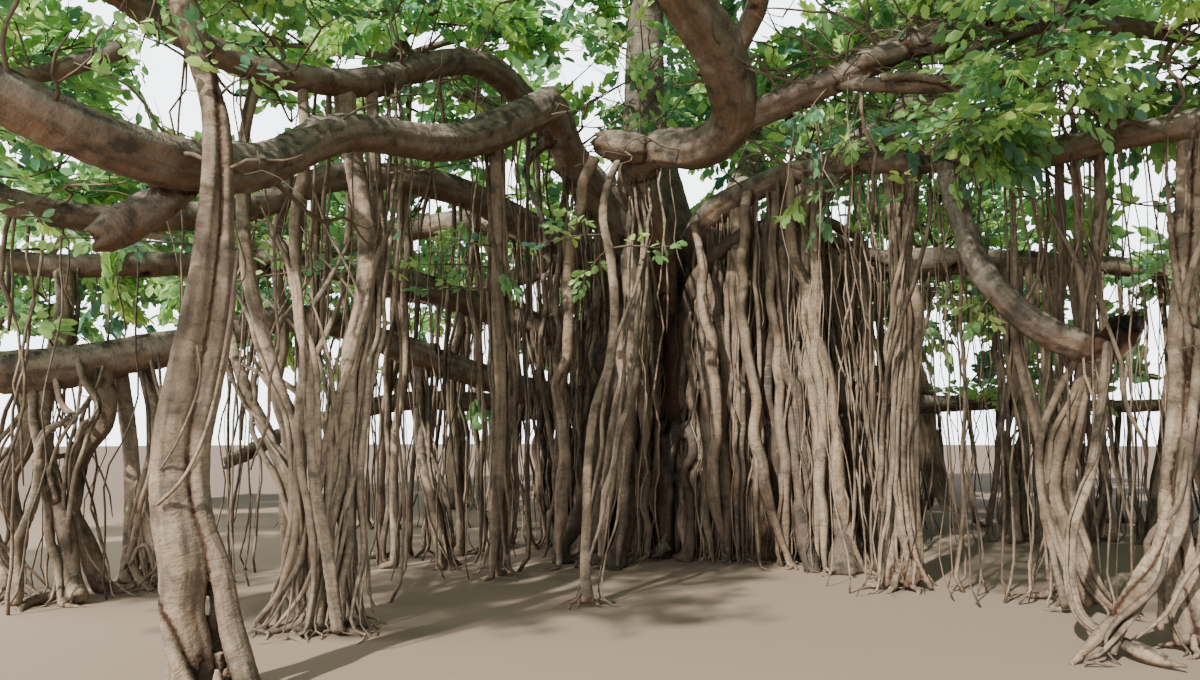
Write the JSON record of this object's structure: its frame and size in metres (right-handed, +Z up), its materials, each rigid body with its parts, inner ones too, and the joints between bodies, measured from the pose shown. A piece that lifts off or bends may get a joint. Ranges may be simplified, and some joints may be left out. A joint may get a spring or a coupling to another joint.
{
  "type": "banyan tree",
  "caption": "Spreading banyan with a trunk of grown-together aerial roots, long low boughs on prop roots, and a wide leafy crown.",
  "frame": {"origin": "centre of the flat cut under the trunk, at ground level", "axes": "+Z up, +Y away from where the picture was taken, +X to the right in the picture"},
  "size_m": [29.5832, 27.9439, 11.8557],
  "materials": {
    "bark": "grey-brown bark, greyer on top and warmer underneath",
    "root_bark": "smooth pinkish-brown bark of the prop roots",
    "leaf": "bright to deep green leaves, slightly glossy"
  },
  "bodies": {
    "root": {"trunk": "bark", "leader_left": "bark", "bough_front_left": "bark", "bough_upper_left": "bark", "bough_left_high": "bark", "bough_left_mid": "bark", "bough_left_low": "bark", "limb_left_dead": "bark", "bough_front": "bark", "bough_front_rise": "bark", "bough_front_right": "bark", "bough_right_front": "bark", "limb_broken": "bark", "bough_right_low": "bark", "bough_right_mid": "bark", "bough_back_right": "bark", "bough_back": "bark", "bough_back_left": "bark", "bough_left": "bark", "leader_top": "bark", "leader_right": "bark", "leader_back": "bark", "leader_left_back": "bark", "prop_front_left": "root_bark", "prop_middle_left": "root_bark", "prop_far_left_inner": "root_bark", "prop_far_left_elbow": "root_bark", "prop_far_left_right": "root_bark", "prop_left_thin": "root_bark", "prop_left_tall": "root_bark", "prop_front_slender": "root_bark", "prop_right": "root_bark", "prop_right_cluster": "root_bark", "prop_right_edge": "root_bark", "prop_back_right_low": "root_bark", "prop_right_far": "root_bark", "prop_back_right": "root_bark", "prop_back": "root_bark", "prop_back_left": "root_bark", "prop_between_boughs": "root_bark", "prop_under_break": "root_bark", "leaves_front_left": "leaf", "leaves_left_front": "leaf", "leaves_left_mid": "leaf", "leaves_left_low": "leaf", "leaves_upper_left": "leaf", "leaves_left": "leaf", "leaves_back_left": "leaf", "leaves_back": "leaf", "leaves_back_right": "leaf", "leaves_right": "leaf", "leaves_right_front": "leaf", "leaves_front_right": "leaf", "leaves_front_low": "leaf", "leaves_front": "leaf", "leaves_inner_front": "leaf", "leaves_inner_right": "leaf", "leaves_inner_back": "leaf", "leaves_inner_left": "leaf", "leaves_top": "leaf"}
  },
  "joints": []
}
